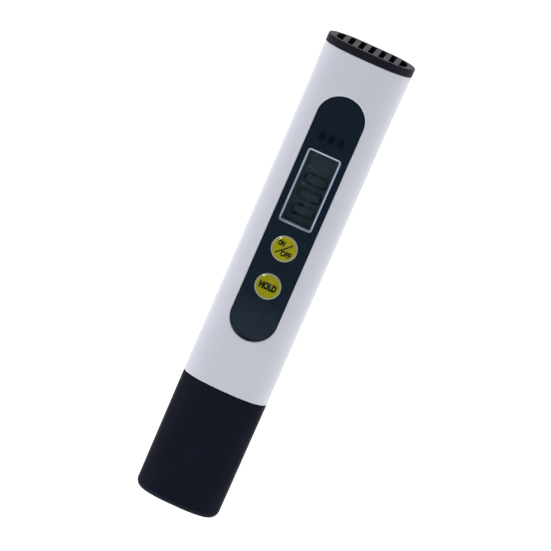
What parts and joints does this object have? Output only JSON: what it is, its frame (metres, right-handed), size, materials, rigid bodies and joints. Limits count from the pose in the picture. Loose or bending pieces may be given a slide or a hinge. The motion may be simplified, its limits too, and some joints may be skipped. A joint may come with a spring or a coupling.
{
  "type": "digital water tester",
  "caption": "Slim oval pen-type water meter with pull-off probe cap, display window, two push buttons and a pull-out battery drawer.",
  "frame": {"origin": "on the rest plane, under the middle of the pen's bounding box, with the pen lying on its back and the cap on", "axes": "+Y along the pen to the battery end, +Z out of the display face, +X to the right as the display is read with the battery end up"},
  "size_m": [0.0284, 0.155, 0.014],
  "materials": {
    "shell_white": "satin moulded",
    "cap_dark": "fine satin moulded",
    "drawer_dark": "fine satin moulded",
    "label_dark": "glossy",
    "window_clear": "clear acrylic, polished",
    "lcd": "dark grey green polariser",
    "frame_black": "matte",
    "zebra_rubber": "layered silicone",
    "board_green": "solder mask",
    "resin_black": "cured resin",
    "chip_parts": "ceramic and tinned ends",
    "contact_brass": "plated spring strip",
    "screw_steel": "zinc plated",
    "pin_metal": "turned and polished",
    "bead_red": "epoxy coated",
    "lead_pvc": "wire insulation",
    "seal_rubber": "soft rubber",
    "cell_steel": "pressed nickel-plated can",
    "button_pale": "translucent moulded",
    "disc_yellow": "printed",
    "dome_clear": "clear lens",
    "plunger_black": "moulded"
  },
  "bodies": {
    "housing": {"front_shell": "shell_white", "rear_shell": "shell_white", "front_label": "label_dark", "display_window": "window_clear", "lcd_glass": "lcd", "lcd_frame": "frame_black", "zebra_strips": "zebra_rubber", "circuit_board": "board_green", "main_chip": "resin_black", "board_parts": "chip_parts", "switch_bases": "frame_black", "battery_contacts": "contact_brass", "board_screws": "screw_steel", "case_screws": "screw_steel", "probe_holder": "cap_dark", "probe_pins": "pin_metal", "thermistor": "bead_red", "probe_leads": "lead_pvc", "neck_seal": "seal_rubber"},
    "cap": {"protective_cap": "cap_dark"},
    "drawer": {"battery_drawer": "drawer_dark", "cell_left": "cell_steel", "cell_right": "cell_steel", "cell_bridge": "contact_brass"},
    "power_key": {"power_button": "button_pale", "power_disc": "disc_yellow", "power_dome": "dome_clear", "power_plunger": "plunger_black"},
    "hold_key": {"hold_button": "button_pale", "hold_disc": "disc_yellow", "hold_dome": "dome_clear", "hold_plunger": "plunger_black"}
  },
  "joints": [
    {"name": "cap_slide", "type": "slide", "parent": "housing", "child": "cap", "axis": [0, -1, 0], "range_m": [0, 0.042]},
    {"name": "drawer_slide", "type": "slide", "parent": "housing", "child": "drawer", "axis": [0, 1, 0], "range_m": [0, 0.018]},
    {"name": "power_press", "type": "slide", "parent": "housing", "child": "power_key", "axis": [0, 0, -1], "range_m": [0, 0.0004], "stiffness_N_per_m": 2500},
    {"name": "hold_press", "type": "slide", "parent": "housing", "child": "hold_key", "axis": [0, 0, -1], "range_m": [0, 0.0004], "stiffness_N_per_m": 2500}
  ]
}
